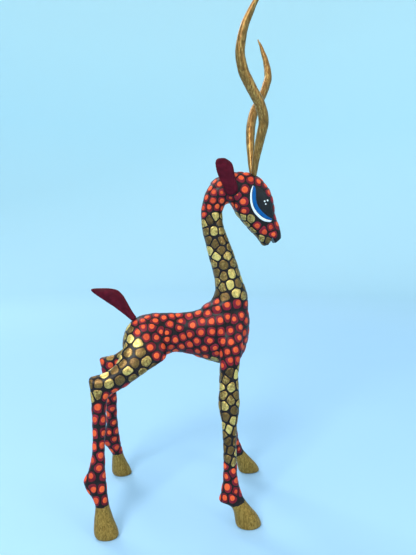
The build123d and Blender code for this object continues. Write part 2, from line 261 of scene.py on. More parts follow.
# ---- materials ---------------------------------------------------------------------------
class Finish:
    """A procedural material in the making. Its patterns follow the piece's own coordinates."""

    def __init__(self, name, roughness, metallic=0.0, coat=0.0, specular=0.5):
        self.material = bpy.data.materials.new(name)
        self.material.use_nodes = True
        self.tree = self.material.node_tree
        self.shader = self.tree.nodes["Principled BSDF"]
        self.shader.inputs["Roughness"].default_value = roughness
        self.shader.inputs["Metallic"].default_value = metallic
        self.shader.inputs["Coat Weight"].default_value = coat
        self.shader.inputs["Coat Roughness"].default_value = 0.25
        self.shader.inputs["Specular IOR Level"].default_value = specular
        self.coordinates = self.tree.nodes.new("ShaderNodeTexCoord").outputs["Object"]

    def node(self, kind, values, **settings):
        """A node with its settings and input values; an output as a value becomes a link."""
        made = self.tree.nodes.new(kind)
        for key, value in settings.items():
            setattr(made, key, value)
        for key, value in values.items():
            if isinstance(value, bpy.types.NodeSocket):
                self.tree.links.new(value, made.inputs[key])
            else:
                made.inputs[key].default_value = value
        return made

    def grain(self, size, stretch=(1, 1, 1), detail=4.0, distortion=0.0):
        """Noise with features of about that size in millimetres, drawn out by the stretch."""
        scale = [1 / (size * factor * MM) for factor in stretch]
        placed = self.node("ShaderNodeMapping", {"Vector": self.coordinates, "Scale": scale})
        values = {"Scale": 1.0, "Detail": detail, "Distortion": distortion}
        values["Vector"] = placed.outputs[0]
        return self.node("ShaderNodeTexNoise", values).outputs["Fac"]

    def ramp(self, factor, *stops):
        """A colour ramp with (position, colour) stops."""
        made = self.node("ShaderNodeValToRGB", {"Fac": factor})
        elements = made.color_ramp.elements
        while len(elements) < len(stops):
            elements.new(0.5)
        for element, (position, colour) in zip(elements, stops):
            element.position = position
            element.color = (*colour, 1)
        return made.outputs["Color"]

    def range(self, value, low, high, to_low, to_high):
        """A value moved from one range to another, and held within it."""
        values = {"Value": value, "From Min": low, "From Max": high}
        values.update({"To Min": to_low, "To Max": to_high})
        return self.node("ShaderNodeMapRange", values).outputs["Result"]

    def mixed(self, factor, first, second):
        """A blend of two colours."""
        made = self.node("ShaderNodeMix", {}, data_type="RGBA")
        for place, value in ((0, factor), (6, first), (7, second)):
            if isinstance(value, bpy.types.NodeSocket):
                self.tree.links.new(value, made.inputs[place])
            elif place:
                made.inputs[place].default_value = (*value, 1)
            else:
                made.inputs[place].default_value = value
        return made.outputs[2]

    def total(self, first, second):
        """The sum of two numbers."""
        return self.node("ShaderNodeMath", {0: first, 1: second}, operation="ADD").outputs[0]

    def attribute(self, name):
        """A number stored on the mesh."""
        return self.node("ShaderNodeAttribute", {}, attribute_name=name).outputs["Fac"]

    def paint(self, colour):
        """The base colour."""
        self.tree.links.new(colour, self.shader.inputs["Base Color"])
        return self

    def gloss(self, roughness):
        """A roughness pattern."""
        self.tree.links.new(roughness, self.shader.inputs["Roughness"])
        return self

    def metal(self, metallic):
        """A metallic pattern."""
        self.tree.links.new(metallic, self.shader.inputs["Metallic"])
        return self

    def relief(self, *layers):
        """Bumps from (pattern, height in millimetres) layers."""
        normal = None
        for pattern, height in layers:
            values = {"Height": pattern, "Distance": height * MM, "Strength": 1.0}
            if normal:
                values["Normal"] = normal
            normal = self.node("ShaderNodeBump", values).outputs["Normal"]
        self.tree.links.new(normal, self.shader.inputs["Normal"])
        return self


BLACK = (0.0060, 0.0038, 0.0036)
BLACK_WORN = (0.026, 0.015, 0.015)
OCHRE_DARK = (0.120, 0.064, 0.011)
OCHRE = (0.280, 0.158, 0.030)
OCHRE_PALE = (0.440, 0.270, 0.066)
HORN_DARK = (0.092, 0.043, 0.009)
HORN = (0.265, 0.118, 0.022)
HORN_PALE = (0.580, 0.370, 0.105)
HORN_WARM = (0.195, 0.094, 0.020)
HORN_PITS = (0.050, 0.030, 0.010)
TONE_SPAN = (0.25, 1.25)  # what a noise pattern and a spot's own tone add up to


def ground_finish():
    """Satin black paint with brush marks, and ochre on the hooves."""
    made = Finish("black_ground", 0.4, specular=0.17)
    strokes = made.grain(0.5, stretch=(1, 1, 7), detail=5, distortion=0.6)
    patches = made.grain(9, detail=3)
    black = made.ramp(strokes, (0.35, BLACK), (0.75, BLACK_WORN))
    worn = made.mixed(made.range(patches, 0.45, 0.75, 0.0, 0.5), black, BLACK)
    grain = made.grain(0.9, stretch=(1, 1, 5), detail=6, distortion=1.2)
    pits = made.grain(0.7, detail=2)
    ochre = made.ramp(grain, (0.3, OCHRE_DARK), (0.5, OCHRE), (0.72, OCHRE_PALE))
    pitted = made.mixed(made.range(pits, 0.60, 0.70, 0.0, 0.8), ochre, OCHRE_DARK)
    wobble = made.range(made.grain(1.6, detail=3), 0.3, 0.7, -0.45, 0.45)
    hoof = made.range(made.total(made.attribute("hoof"), wobble), -0.08, 0.08, 0.0, 1.0)
    made.paint(made.mixed(hoof, worn, pitted))
    made.gloss(made.range(strokes, 0.3, 0.7, 0.27, 0.42))
    made.metal(made.range(hoof, 0.0, 1.0, 0.0, 0.3))
    return made.relief((strokes, 0.06), (grain, 0.05)).material


def gold_finish(dark, middle, bright):
    """Metallic gold paint, mottled, with thin places and specks."""
    made = Finish("gold_paint", 0.36, 0.6)
    mottle = made.grain(2.0, detail=5, distortion=0.8)
    flakes = made.grain(0.28, detail=3)
    shifted = made.total(mottle, made.attribute("tone"))
    spread_out = made.range(shifted, *TONE_SPAN, 0.0, 1.0)
    colour = made.ramp(spread_out, (0.12, dark), (0.52, middle), (0.92, bright))
    specks = made.grain(0.8, stretch=(1, 1, 2), detail=4, distortion=1.0)
    made.paint(made.mixed(made.range(specks, 0.60, 0.72, 0.0, 0.75), colour, dark))
    made.gloss(made.range(flakes, 0.3, 0.7, 0.28, 0.50))
    return made.relief((mottle, 0.10), (flakes, 0.03), (specks, -0.05)).material


def paint_finish(name, dark, light, height=0.06, specular=0.14):
    """Brushed acrylic paint."""
    made = Finish(name, 0.4, specular=specular)
    strokes = made.grain(1.6, stretch=(1, 1, 1.8), detail=5, distortion=0.7)
    shifted = made.total(strokes, made.attribute("tone"))
    made.paint(made.ramp(made.range(shifted, *TONE_SPAN, 0.0, 1.0), (0.2, dark), (0.8, light)))
    made.gloss(made.range(strokes, 0.3, 0.7, 0.38, 0.55))
    return made.relief((strokes, height)).material


def plum_finish():
    """Plum paint in long strokes, with the wood's grain showing through a little."""
    made = Finish("plum", 0.45, specular=0.08)
    strokes = made.grain(0.8, stretch=(6, 1, 6), detail=5, distortion=0.5)
    cloud = made.grain(6, detail=3)
    base = made.ramp(strokes, (0.3, (0.056, 0.0022, 0.008)), (0.7, (0.118, 0.0060, 0.017)))
    made.paint(made.mixed(made.range(cloud, 0.4, 0.7, 0.0, 0.45), base, (0.040, 0.002, 0.006)))
    made.gloss(made.range(strokes, 0.3, 0.7, 0.42, 0.6))
    return made.relief((strokes, 0.07)).material


def horn_finish():
    """Brushed gold along the horn, with darker streaks and small pits."""
    made = Finish("horn_gold", 0.36, 0.62)
    streaks = made.grain(0.9, stretch=(1, 1, 14), detail=6, distortion=0.5)
    cloud = made.grain(5, stretch=(1, 1, 3), detail=3)
    pits = made.grain(0.7, stretch=(1, 1, 1.8), detail=2)
    base = made.ramp(streaks, (0.28, HORN_DARK), (0.5, HORN), (0.74, HORN_PALE))
    warm = made.mixed(made.range(cloud, 0.4, 0.7, 0.0, 0.55), base, HORN_WARM)
    made.paint(made.mixed(made.range(pits, 0.64, 0.70, 0.0, 0.8), warm, HORN_PITS))
    made.gloss(made.range(streaks, 0.3, 0.7, 0.28, 0.5))
    return made.relief((streaks, 0.10), (pits, -0.08)).material


def wood_finish():
    """Bare pale wood, with its grain."""
    made = Finish("bare_wood", 0.6, specular=0.3)
    fibres = made.grain(0.35, stretch=(1, 1, 18), detail=6, distortion=0.4)
    bands = made.grain(3.5, stretch=(1, 1, 8), detail=3, distortion=1.5)
    base = made.ramp(bands, (0.3, (0.46, 0.29, 0.145)), (0.7, (0.66, 0.47, 0.27)))
    made.paint(made.mixed(made.range(fibres, 0.5, 0.75, 0.0, 0.6), base, (0.33, 0.19, 0.09)))
    made.gloss(made.range(fibres, 0.3, 0.7, 0.5, 0.7))
    return made.relief((fibres, 0.05)).material


ground = ground_finish()
wood = wood_finish()
plum = plum_finish()
horn_gold = horn_finish()
gold = gold_finish((0.070, 0.034, 0.008), (0.215, 0.112, 0.026), (0.820, 0.570, 0.160))
maroon = paint_finish("maroon_paint", (0.105, 0.0060, 0.012), (0.240, 0.0140, 0.026))
orange = paint_finish("orange_paint", (0.500, 0.045, 0.016), (0.820, 0.108, 0.029), height=0.08)
eye_black = paint_finish(
    "eye_black", (0.004, 0.004, 0.005), (0.012, 0.012, 0.014), height=0.02, specular=0.2
)
eye_blue = paint_finish("eye_blue", (0.001, 0.050, 0.180), (0.001, 0.095, 0.300), height=0.04)
eye_white = paint_finish("eye_white", (0.60, 0.60, 0.58), (0.82, 0.82, 0.81), height=0.04)
for dowel in [node for node in frame["nodes"] if "dowel" in node]:
    materials = frame["nodes"][dowel].data.materials
    materials.clear()
    materials.append(wood)


# ---- the carved wood ---------------------------------------------------------------------
PEG_STARTS = {joint["child"]: along(joint["child"], joint["axis"]) for joint in frame["joints"]}
# From each peg's inner end out to the skin round its plug.
PEG_REACH = {"tail": 9.5, "ear_right": 8.5, "ear_left": 8.5, "horn_right": 10.5, "horn_left": 10.5}
PEG_GAP = 0.08  # between a peg and its hole
PEG_SKIN = 0.25  # past a peg's radius, to fill its hole or to find its faces
SEAT_DEPTH = 1.5  # a plug's own body starts this far under the skin
FILL_START, FILL_SHORT = -1.0, 2.0  # a hole's filler starts past the peg's end, under the skin
HOLE_END_ROOM = 0.5
HOLE_OVERRUN = 4.0
SEATS = {
    name: middle + direction * (PEG_REACH[name] - SEAT_DEPTH)
    for name, (middle, direction, _) in PEG_STARTS.items()
}


def whole_figure():
    """The pieces that don't move as one skin, with every hole filled."""
    whole = joined_copy("whole_figure", ROOT_NODES)
    fillers = []
    for name, (middle, direction, radius) in PEG_STARTS.items():
        stop = PEG_REACH[name] - FILL_SHORT
        fillers.append(bar(middle, direction, FILL_START, stop, radius + PEG_SKIN))
    bm = bmesh.new()
    bm.from_mesh(whole.data)
    for filler in fillers:
        bm.from_mesh(filler.data)
        bpy.data.objects.remove(filler)
    bm.to_mesh(whole.data)
    bm.free()
    remeshed(whole, WOOD_VOXEL)
    smoothed(whole, soft_rounds=5, firm_rounds=6)
    unevened(whole, wave=11.0, reach=0.22, calm_points=list(SEATS.values()), calm_radius=6.0)
    return whole


whole = whole_figure()


# ---- spots -------------------------------------------------------------------------------
class Skin:
    """The figure's surface, to place paint on."""

    def __init__(self, piece):
        self.points = points_of(piece.data)
        self.normals = normals_of(piece.data)
        polygons = [tuple(polygon.vertices) for polygon in piece.data.polygons]
        self.tree = BVHTree.FromPolygons(self.points.tolist(), polygons)

    def nearest(self, point):
        """The point of the surface nearest a point, and the surface's direction there."""
        place, normal, _, _ = self.tree.find_nearest(point)
        return place, normal

    def across(self, x, z, side):
        """The point of one side's surface straight across from x and z."""
        place, normal, _, _ = self.tree.ray_cast(Vector((x, side * FAR, z)), Vector((0, -side, 0)))
        return place, normal


def plugs_surface():
    """The surface of everything that plugs in."""
    points, polygons = [], []
    for name in PEG_STARTS:
        mesh = frame["nodes"][name].data
        first = len(points)
        polygons += [tuple(vert + first for vert in polygon.vertices) for polygon in mesh.polygons]
        points += points_of(mesh).tolist()
    return BVHTree.FromPolygons(points, polygons)


skin = Skin(whole)
plug_tree = plugs_surface()
PLUG_CLEARANCE = 0.9  # between a spot and a plugged-in piece
SHIFT = 17.0  # the zones below measure x from a point this far in front of the row frame's origin
FORE_SPLIT_X = -22.0  # the hind legs are behind this
LIMBS = ["torso", "neck", "head", "foreleg_right", "foreleg_left", "hindleg_right", "hindleg_left"]
TORSO, NECK, HEAD, FORE_RIGHT, FORE_LEFT, HIND_RIGHT, HIND_LEFT = range(len(LIMBS))
LEGS_TOP_Z = 150.0
SPACING = 7.7
REACH = {"gold": 4.4, "red": 4.1}  # a spot's radius where no neighbour holds it back
GAP = {"gold": 0.85, "red": 0.8}  # the black line between neighbours


def limbs_at(points):
    """The number in LIMBS of the limb that each point is on."""
    x, y, z = points[:, 0] - SHIFT, points[:, 1], points[:, 2]
    limb = np.full(len(points), TORSO)
    leg = (np.abs(y) > BODY_HALF) & (z < LEGS_TOP_Z)
    hind = x < FORE_SPLIT_X
    limb[leg & ~hind & (y < 0)] = FORE_RIGHT
    limb[leg & ~hind & (y > 0)] = FORE_LEFT
    limb[leg & hind & (y < 0)] = HIND_RIGHT
    limb[leg & hind & (y > 0)] = HIND_LEFT
    limb[z > NECK_SEAT_Z] = NECK
    limb[(z > HEAD_SEAT_Z) | ((z > MUZZLE_Z) & (x > 22))] = HEAD
    return limb


def gold_at(points, normals, limbs):
    """Which points are in the gold zones."""
    x, y, z = points[:, 0] - SHIFT, points[:, 1], points[:, 2]
    inward = normals[:, 1] * np.sign(y) < -0.25
    fore, hind = (limbs == FORE_RIGHT) | (limbs == FORE_LEFT), limbs >= HIND_RIGHT
    neck = (z > 163) & (z < 227.5 + np.clip(x * 0.3, -1, 4)) & (limbs <= NECK)
    throat = (normals[:, 2] < -0.45) | (x > 16) & (z + 0.95 * x < 244)
    jaw = (limbs == HEAD) & (z < 240) & (x > 19) & throat
    behind = 25 * (x + 57) + 17 * (z - 140) < 0
    shank = z > np.interp(x, [-88, -76], [88, 103])
    haunch = behind & (x < -30) & shank & ~(hind & inward & (normals[:, 2] < 0.3))
    shin = fore & (z < 113) & (z > 45)
    belly = (limbs == TORSO) & (z < 118) & (x > -8) & (x < 7) & (normals[:, 2] < -0.3)
    return neck | jaw | haunch | shin | belly


# The bare patch round the eye on the side of the head, as (x, z).
EYE_OUTLINE = [
    *[(33.5, 252.6), (30.0, 249.6), (28.2, 242), (28.9, 235.4), (31.1, 229.8), (35, 224.9)],
    *[(39.8, 221.6), (44.5, 220.3), (49, 220.7), (51.8, 224), (51.3, 229), (49.9, 236)],
    *[(47.9, 241.5), (44.6, 246), (40, 249.6), (36, 251.8)],
]
# The line along the top of each hoof: a point's x and z, and the line's slope.
HOOF_TOPS = {
    FORE_RIGHT: (13.4, 15.6, 0.30),
    FORE_LEFT: (28.4, 17.3, 0.42),
    HIND_RIGHT: (-80, 21.5, 0.10),
    HIND_LEFT: (-80, 21.5, 0.10),
}
FORE_BAND, HIND_BAND = 4.4, 1.0  # the bare black bands above the hooves
SPINE_HALF = 2.3  # half the bare black strip along the nape and the back
SEAT_ROOM = 3.4  # the bare skin round a plug


def inside(outline, x, z):
    """Which of the points lie inside an outline."""
    held = np.zeros(len(x), dtype=bool)
    for (x0, z0), (x1, z1) in zip(outline, outline[1:] + outline[:1]):
        if z0 != z1:
            held ^= ((z0 > z) != (z1 > z)) & (x < (x1 - x0) * (z - z0) / (z1 - z0) + x0)
    return held


def coronet(points, limbs):
    """How far each point is above the top of its hoof, or far above where it isn't on a leg."""
    x, z = points[:, 0] - SHIFT, points[:, 2]
    above = np.full(len(points), FAR)
    for number, (start_x, start_z, slope) in HOOF_TOPS.items():
        on = limbs == number
        above[on] = z[on] - start_z - slope * (x[on] - start_x)
    return above


def unpainted(points, normals, limbs):
    """Where no spot goes: the hooves, the spine, round the plugs, the eyes and the muzzle's tip."""
    x, z = points[:, 0] - SHIFT, points[:, 2]
    head = limbs == HEAD
    band_height = np.where((limbs == FORE_RIGHT) | (limbs == FORE_LEFT), FORE_BAND, HIND_BAND)
    bare = coronet(points, limbs) < band_height
    up, back = normals[:, 2], -normals[:, 0]
    spine = (limbs == TORSO) & (up > 0.55) | (limbs == NECK) & (back > 0.5)
    spine |= head & (back + up > 0.8) & (x < 12)
    bare |= spine & (np.abs(points[:, 1]) < SPINE_HALF)
    for seat in SEATS.values():
        bare |= np.linalg.norm(points - seat, axis=1) < SEAT_ROOM
    bare |= head & inside(EYE_OUTLINE, x, z) & (np.abs(normals[:, 1]) > 0.2)
    bare |= head & (x > 53.2) & (z < 219)
    bare |= head & (x > 49) & (z < 211)
    return bare


# For each limb: how far apart its spots are as a share of SPACING, and the share of an upward step
# that counts, which sets them further apart up the limb than across it.
CLOSENESS = np.array([1.0, 1.0, 0.9, 0.93, 0.93, 1.06, 1.06])
STRETCH = np.array([1.0, 1.0, 1.0, 0.96, 0.96, 0.92, 0.92])
FLAT_WEIGHT = 4.0  # how many millimetres a unit of difference in direction counts as
SAMPLE_SHARE = 0.25  # of the skin's points
FEWEST_POINTS = 12  # in a spot's cell
CLOSEST_SEEDS = 0.80  # as a share of the spacing
SETTLING_ROUNDS = 10
BATCH = 4096


def scattered():
    """Sampled points of the skin that may be painted, with what tells them apart for spacing."""
    picked = rng.random(len(skin.points)) < SAMPLE_SHARE
    points, normals = skin.points[picked], skin.normals[picked]
    limbs = limbs_at(points)
    gold_zone = gold_at(points, normals, limbs)
    free = ~unpainted(points, normals, limbs)
    points, normals, limbs, gold_zone = points[free], normals[free], limbs[free], gold_zone[free]
    features = np.concatenate([points, normals * FLAT_WEIGHT], axis=1)
    features[:, 2] *= STRETCH[limbs]
    features /= (SPACING * CLOSENESS[limbs])[:, None]
    return points, limbs, gold_zone, features


def spread(features):
    """The numbers of points that lie no closer together than the closest seeds may."""
    left = np.full(len(features), np.inf)
    chosen = [0]
    while True:
        left = np.minimum(left, np.linalg.norm(features - features[chosen[-1]], axis=1))
        best = int(left.argmax())
        if left[best] < CLOSEST_SEEDS:
            break
        chosen.append(best)
    return chosen


def settled(features, chosen):
    """Seeds moved, round by round, to the middles of their cells."""
    seeds = features[chosen].copy()
    for _ in range(SETTLING_ROUNDS):
        cell = nearest_seed(features, seeds)
        count = np.bincount(cell, minlength=len(seeds))[:, None]
        total = np.stack([np.bincount(cell, column, len(seeds)) for column in features.T], axis=1)
        seeds = np.where(count > 0, total / np.maximum(count, 1), seeds)
    return seeds


def nearest_seed(features, seeds):
    """The seed nearest each point."""
    best = np.zeros(len(features), dtype=int)
    for start in range(0, len(features), BATCH):
        part = features[start : start + BATCH]
        gaps = (part**2).sum(1)[:, None] - 2 * part @ seeds.T + (seeds**2).sum(1)[None]
        best[start : start + BATCH] = gaps.argmin(axis=1)
    return best


Spot = namedtuple("Spot", "place normal limb gold")
NEIGHBOUR_REACH = 13.0  # spots further apart than this don't meet
GOLD_SHARE, RED_SHARE = 0.53, 0.47  # of the room between a gold spot and a red one
PLUG_STEP = 0.4
SPOT_SIDES = 24
TURNS = [2 * math.pi * step / SPOT_SIDES for step in range(SPOT_SIDES)]
CORNER_POWER = 9.0  # a higher power leaves a spot with sharper corners between its neighbours
WAVINESS = 0.025
LEAST_ROOM = 0.6
# Each profile runs out from a spot's middle: the share of its reach, and the height above the skin.
GOLD_PROFILE = [(0.3, 0.27), (0.6, 0.26), (0.8, 0.22), (0.92, 0.14), (1.0, -0.12)]
RED_PROFILE = [(0.35, 0.22), (0.65, 0.21), (0.85, 0.17), (0.94, 0.10), (1.0, -0.12)]
ORANGE_PROFILE = [(0.4, 0.36), (0.75, 0.34), (0.92, 0.28), (1.0, 0.12)]
SPOT_BOTTOM, ORANGE_BOTTOM = -0.3, 0.1
SMALLEST_SPOT = 0.5
SMALLEST_RING = 1.6  # a maroon spot narrower than this gets no orange dot
BARE_RING_SHARE = 0.035
ORANGE_REACH = 2.25


def placed_spots():
    """Every painted spot's place on the skin."""
    points, limbs, gold_zone, features = scattered()
    seeds = settled(features, spread(features))
    cell = nearest_seed(features, seeds)
    spots = []
    for number in range(len(seeds)):
        mine = np.flatnonzero(cell == number)
        if len(mine) < FEWEST_POINTS:
            continue
        middle = points[mine].mean(axis=0)
        place, normal = skin.nearest(middle)
        held = mine[np.linalg.norm(points[mine] - np.array(place), axis=1).argmin()]
        spots.append(Spot(place, normal, int(limbs[held]), bool(gold_zone[mine].mean() > 0.5)))
    return spots


def reach_limits(spots):
    """For each spot, how far its neighbours let it reach: (direction, distance) pairs."""
    places = np.array([spot.place for spot in spots])
    normals = np.array([spot.normal for spot in spots])
    limits = []
    for number, spot in enumerate(spots):
        away = places - places[number]
        gaps = np.linalg.norm(away, axis=1)
        facing = normals @ normals[number] > -0.35
        near = np.flatnonzero((gaps > 0) & (gaps < NEIGHBOUR_REACH) & facing)
        pairs = []
        for other in near:
            flat = away[other] - normals[number] * (away[other] @ normals[number])
            share = 0.5
            if spot.gold != spots[other].gold:
                share = GOLD_SHARE if spot.gold else RED_SHARE
            room = gaps[other] * share - GAP["gold" if spot.gold else "red"] / 2
            pairs.append((flat / max(np.linalg.norm(flat), 1e-6), room))
        limits.append(pairs)
    return limits


def clear_reach(place, heading, widest):
    """How far paint may go along a heading before it meets a plugged-in piece."""
    reach = 0.0
    while reach < widest:
        reach += PLUG_STEP
        if plug_tree.find_nearest(place + heading * reach, PLUG_CLEARANCE)[0] is not None:
            return reach - PLUG_STEP
    return widest


def rim(place, pairs, axes, widest):
    """The reach of a spot in each direction, held back by its neighbours and rounded."""
    right, up = axes
    near_plug = plug_tree.find_nearest(place, widest + 2 * PLUG_CLEARANCE)[0] is not None
    start = rng.random(3) * 2 * math.pi
    reaches = []
    for turn in TURNS:
        heading = right * math.cos(turn) + up * math.sin(turn)
        total = widest**-CORNER_POWER
        for direction, room in pairs:
            facing = float(np.dot(direction, heading))
            if facing > 0.12:
                total += (max(room, LEAST_ROOM) / facing) ** -CORNER_POWER
        wave = sum(math.sin(turn * k + start[k - 1]) / k for k in (1, 2, 3))
        reach = total ** (-1 / CORNER_POWER) * (1 + WAVINESS * wave)
        reaches.append(clear_reach(place, Vector(heading), reach) if near_plug else reach)
    return reaches


def dab(bm, layer, centre, normal, reaches, axes, profile, bottom, tone):
    """One closed blob of paint that follows the skin from its centre out to its rim."""
    right, up = (Vector(axis) for axis in axes)
    rings = [[] for _ in profile]
    for turn, reach in zip(TURNS, reaches):
        heading = right * math.cos(turn) + up * math.sin(turn)
        place, facing, travelled = centre.copy(), normal.copy(), 0.0
        for ring, (share, height) in zip(rings, profile):
            stride = reach * share - travelled
            travelled = reach * share
            moved, facing = skin.nearest(place + heading * stride)
            heading = (heading - facing * heading.dot(facing)).normalized()
            place = moved
            ring.append(bm.verts.new((moved + facing * height) * MM))
    top = bm.verts.new((centre + normal * profile[0][1]) * MM)
    under = bm.verts.new((centre + normal * bottom) * MM)
    faces = []
    for step in range(SPOT_SIDES):
        after = (step + 1) % SPOT_SIDES
        faces.append(bm.faces.new((top, rings[0][step], rings[0][after])))
        for inner, outer in zip(rings, rings[1:]):
            faces.append(bm.faces.new((inner[step], outer[step], outer[after], inner[after])))
        faces.append(bm.faces.new((under, rings[-1][after], rings[-1][step])))
    for vert in [top, under] + [vert for ring in rings for vert in ring]:
        vert[layer] = tone
    for face in faces:
        face.smooth = True


def axes_at(normal):
    """Two directions along the skin, across and upwards."""
    lead = Vector((0, 0, 1)) if abs(normal.z) < 0.9 else Vector((1, 0, 0))
    up = (lead - normal * lead.dot(normal)).normalized()
    return np.array(up.cross(normal)), np.array(up)


def random_tone(middle, least, most):
    """A spot's own light or dark tone."""
    return float(np.clip(middle + 0.16 * rng.standard_normal(), least, most))


def paint_spots():
    """Gold, maroon and orange spots, grouped by limb and paint."""
    spots = placed_spots()
    sheets = {}
    for spot, pairs in zip(spots, reach_limits(spots)):
        axes = axes_at(spot.normal)
        widest = REACH["gold" if spot.gold else "red"] * (1 + 0.06 * rng.standard_normal())
        reaches = rim(spot.place, pairs, axes, widest)
        if min(reaches) < SMALLEST_SPOT:
            continue
        tone = random_tone(0.30, -0.05, 0.65)
        bm, layer = sheet(sheets, spot.limb, "gold" if spot.gold else "maroon")
        profile = GOLD_PROFILE if spot.gold else RED_PROFILE
        dab(bm, layer, spot.place, spot.normal, reaches, axes, profile, SPOT_BOTTOM, tone)
        if spot.gold:
            continue
        drift = Vector(axes[0]) * rng.normal(0.15, 0.4) + Vector(axes[1]) * rng.normal(0.15, 0.4)
        centre, normal = skin.nearest(spot.place + drift)
        wide = float(np.median(reaches))
        if wide < SMALLEST_RING or rng.random() < BARE_RING_SHARE:
            continue
        size = ORANGE_REACH * (1 + 0.10 * rng.standard_normal())
        size = min(size, wide * 0.72, min(reaches) * 0.85)
        oval = [size * (1 + 0.35 * (reach / wide - 1)) for reach in reaches]
        tone = random_tone(0.36, 0.0, 0.7)
        bm, layer = sheet(sheets, spot.limb, "orange")
        dab(bm, layer, centre, normal, oval, axes_at(normal), ORANGE_PROFILE, ORANGE_BOTTOM, tone)
    return sheets


def sheet(sheets, limb, paint):
    """The mesh in the making for one paint on one limb, with its tone layer."""
    key = (LIMBS[limb], paint)
    if key not in sheets:
        bm = bmesh.new()
        sheets[key] = (bm, bm.verts.layers.float.new("tone"))
    return sheets[key]


PAINTS = {"gold": gold, "maroon": maroon, "orange": orange}
for (limb, paint), (bm, _) in sorted(paint_spots().items(), key=lambda item: item[0]):
    mesh = bpy.data.meshes.new(f"{limb}_{paint}_spots")
    bm.to_mesh(mesh)
    bm.free()
    mesh.materials.append(PAINTS[paint])
    stand_in(new_object(f"{limb}_{paint}_spots", mesh), "root", f"{paint}_spots")


# ---- the eyes ----------------------------------------------------------------------------
# The eye's bands, each between two lines on the side of the head, as (x, z).
WHITE_OUTER = [
    *[(33.2, 250.6), (31.4, 247.2), (30.6, 241.9), (31.2, 236.2), (33.1, 231.5), (36.4, 227.4)],
    *[(40.4, 224.3), (43.8, 223.2), (47.3, 223.1), (48.8, 224.2)],
]
WHITE_INNER = [
    *[(33.6, 250.4), (32.4, 246.2), (32.2, 241.4), (33.0, 236.2), (35.1, 232.0), (38.5, 228.4)],
    *[(42.6, 225.7), (47.3, 224.6), (48.9, 224.5)],
]
BLUE_INNER = [
    *[(34.6, 250.2), (35.5, 246.7), (35.4, 241.4), (36.2, 236.7), (38.4, 233.1), (41.9, 229.7)],
    *[(46.0, 227.0), (49.4, 225.6)],
]
PUPIL_FRONT = [
    *[(34.8, 250.6), (38.4, 248.5), (42.4, 246.0), (45.9, 242.3), (47.7, 237.2), (49.0, 232.0)],
    (49.8, 226.6),
]
GLINTS = [(42.2, 238.7, 0.85), (44.6, 239.4, 0.9), (43.1, 236.6, 0.75)]  # x, z and radius
FILM_EDGE, FILM_BOTTOM = -0.06, -0.2  # heights above the skin
EYE_TONE = 0.4
ALONG_COUNT = 44


def even_points(line, count):
    """Points at even spacing along a line that is rounded through its corners."""
    line = np.array(line, dtype=float)
    for _ in range(3):
        inner = [0.75 * line[:-1] + 0.25 * line[1:], 0.25 * line[:-1] + 0.75 * line[1:]]
        line = np.vstack([line[:1], np.stack(inner, axis=1).reshape(-1, 2), line[-1:]])
    steps = np.concatenate([[0], np.cumsum(np.linalg.norm(np.diff(line, axis=0), axis=1))])
    wanted = np.linspace(0, steps[-1], count)
    return np.stack([np.interp(wanted, steps, line[:, axis]) for axis in (0, 1)], axis=1)


def closed_sheet(bm, layer, rows, height, side):
    """A closed film of paint over a grid of (x, z) points, thinned out to its edges."""
    top, under = [], []
    for row_number, row in enumerate(rows):
        top.append([])
        under.append([])
        for number, (x, z) in enumerate(row):
            place, normal = skin.across(x + SHIFT, z, side)
            edge = min(row_number, len(rows) - 1 - row_number) / 1.5
            edge = min(edge, min(number, len(row) - 1 - number) / 1.5, 1.0)
            lift = height * edge + FILM_EDGE * (1 - edge)
            top[-1].append(bm.verts.new((place + normal * lift) * MM))
            under[-1].append(bm.verts.new((place + normal * FILM_BOTTOM) * MM))
    for verts, flip in ((top, side > 0), (under, side < 0)):
        for before, after in zip(verts, verts[1:]):
            for k in range(len(before) - 1):
                quad = [before[k], before[k + 1], after[k + 1], after[k]]
                bm.faces.new(quad[::-1] if flip else quad).smooth = True
    last_row, last = len(rows) - 1, len(rows[0]) - 1
    around = [(0, k) for k in range(last)] + [(r, last) for r in range(last_row)]
    around += [(last_row, k) for k in range(last, 0, -1)] + [(r, 0) for r in range(last_row, 0, -1)]
    for (r0, k0), (r1, k1) in zip(around, around[1:] + around[:1]):
        bm.faces.new((top[r0][k0], under[r0][k0], under[r1][k1], top[r1][k1])).smooth = True
    for vert in [vert for row in top + under for vert in row]:
        vert[layer] = EYE_TONE


def band(first, second, across_count):
    """Rows of points from one line over to another."""
    first, second = even_points(first, ALONG_COUNT), even_points(second, ALONG_COUNT)
    return [first + (second - first) * share for share in np.linspace(0, 1, across_count)]


def glint_rows(x, z, radius):
    """A small round dab as a grid of points."""
    rows = []
    for v in np.linspace(-1, 1, 7):
        rows.append([])
        for u in np.linspace(-1, 1, 7):
            square = max(abs(u), abs(v))
            length = math.hypot(u, v) or 1.0
            rows[-1].append((x + radius * u * square / length, z + radius * v * square / length))
    return rows


def paint_eyes():
    """A large eye on each side: a white and a blue crescent round a black pupil with glints."""
    glints = [(glint_rows(*glint), 0.42) for glint in GLINTS]
    layers = [
        ("eye_black", eye_black, [(band(BLUE_INNER, PUPIL_FRONT, 22), 0.14)]),
        ("eye_blue", eye_blue, [(band(WHITE_INNER, BLUE_INNER, 9), 0.2)]),
        ("eye_white", eye_white, [(band(WHITE_OUTER, WHITE_INNER, 7), 0.24), *glints]),
    ]
    for side, side_name in SIDE_NAMES.items():
        for slot, finish, grids in layers:
            bm = bmesh.new()
            layer = bm.verts.layers.float.new("tone")
            for rows, height in grids:
                closed_sheet(bm, layer, rows, height, side)
            bmesh.ops.recalc_face_normals(bm, faces=bm.faces)
            mesh = bpy.data.meshes.new(f"{slot}_{side_name}")
            bm.to_mesh(mesh)
            bm.free()
            mesh.materials.append(finish)
            stand_in(new_object(f"{slot}_{side_name}", mesh), "root", slot)


paint_eyes()


